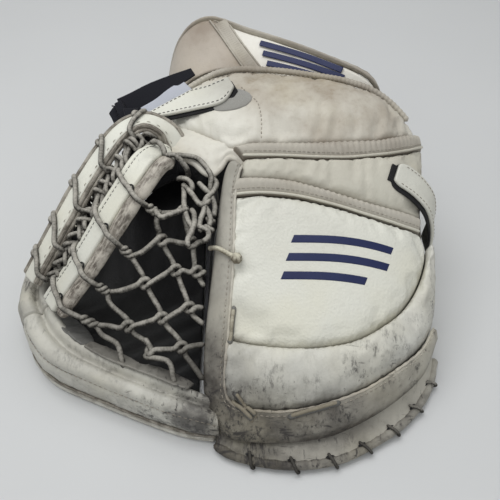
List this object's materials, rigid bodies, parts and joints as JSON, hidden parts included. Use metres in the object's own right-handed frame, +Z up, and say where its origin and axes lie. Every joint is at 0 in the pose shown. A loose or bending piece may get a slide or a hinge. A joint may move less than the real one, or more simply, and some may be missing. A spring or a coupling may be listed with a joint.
{
  "type": "goalie catch glove",
  "caption": "Padded ice hockey goalie catch glove for the left hand, lying palm down, with a laced pocket, arched T bands, back flap, straps and cuff.",
  "frame": {"origin": "on the ground under the middle of the glove's bounding box, with the glove lying palm down on its rim", "axes": "+X towards the little finger side, +Y from the fingertips to the cuff, +Z up, away from the palm"},
  "size_m": [0.3466, 0.3586, 0.1665],
  "materials": {
    "white_leather": "semi-gloss synthetic leather",
    "worn_leather": "worn, dirty leather",
    "stiffener": "moulded sheet",
    "foam": "closed-cell foam",
    "lining": "brushed lining",
    "lace": "waxed round lace",
    "webbing": "woven nylon"
  },
  "bodies": {
    "finger_side": {"finger_back_panel": "white_leather", "finger_edge_roll": "white_leather", "finger_stiffener": "stiffener", "panel_seam_welt": "worn_leather", "knuckle_strip": "worn_leather", "knuckle_seam_welt": "worn_leather", "edge_binding": "worn_leather", "finger_gusset": "worn_leather", "palm_leather": "white_leather", "palm_foam": "foam", "index_wall": "lining", "finger_loop_index": "lining", "finger_loop_middle": "lining", "finger_loop_ring": "lining", "finger_loop_little": "lining", "crotch_leather": "worn_leather", "tie_knot": "lace", "web_leather": "white_leather", "pocket_rim": "white_leather", "heel_rim": "white_leather", "little_finger_wall": "worn_leather", "pocket_net": "lace"},
    "t_trap": {"outer_band": "white_leather", "inner_band": "white_leather", "inner_band_roll": "worn_leather", "t_foot": "white_leather", "band_lacing": "lace"},
    "thumb_side": {"thumb_back_panel": "white_leather", "thumb_stiffener": "stiffener", "thumb_palm_leather": "white_leather", "thumb_palm_foam": "foam", "thumb_loop": "lining", "thumb_rim": "white_leather", "thumb_net": "lace"},
    "back_flap": {"back_flap_pad": "worn_leather", "back_flap_lining": "lining", "back_flap_binding": "worn_leather", "loop_patch": "webbing", "wrist_strap": "webbing"},
    "wrist_tab": {"wrist_strap_tab": "white_leather"},
    "finger_tab": {"finger_strap_tab": "white_leather"},
    "cuff": {"cuff_shell": "white_leather", "cuff_stiffener": "stiffener", "cuff_lining": "lining", "cuff_binding": "worn_leather"}
  },
  "joints": [
    {"name": "pocket_fold", "type": "hinge", "parent": "finger_side", "child": "t_trap", "pos_m": [-0.0415, -0.0119, 0.075], "axis": [0, -1, 0], "range_deg": [0, 10], "deforming": ["pocket_rim", "pocket_net", "web_leather"]},
    {"name": "thumb_fold", "type": "hinge", "parent": "t_trap", "child": "thumb_side", "pos_m": [-0.0415, -0.0119, 0.075], "axis": [0, -1, 0], "range_deg": [0, 10], "deforming": ["thumb_net"]},
    {"name": "flap_lift", "type": "hinge", "parent": "finger_side", "child": "back_flap", "pos_m": [0.0185, 0.0241, 0.142], "axis": [1, 0, 0], "range_deg": [0, 35]},
    {"name": "wrist_tab_peel", "type": "hinge", "parent": "back_flap", "child": "wrist_tab", "pos_m": [-0.0875, 0.0701, 0.135], "axis": [0.1961, -0.9806, 0], "range_deg": [0, 110]},
    {"name": "finger_tab_peel", "type": "hinge", "parent": "finger_side", "child": "finger_tab", "pos_m": [0.1705, -0.0049, 0.054], "axis": [0, 1, 0], "range_deg": [0, 70]},
    {"name": "cuff_flex", "type": "hinge", "parent": "finger_side", "child": "cuff", "pos_m": [0.0385, 0.1201, 0.012], "axis": [-1, 0, 0], "range_deg": [0, 7]}
  ],
  "couplings": [
    {"joint": "thumb_fold", "follows": "pocket_fold", "ratio": 1}
  ]
}
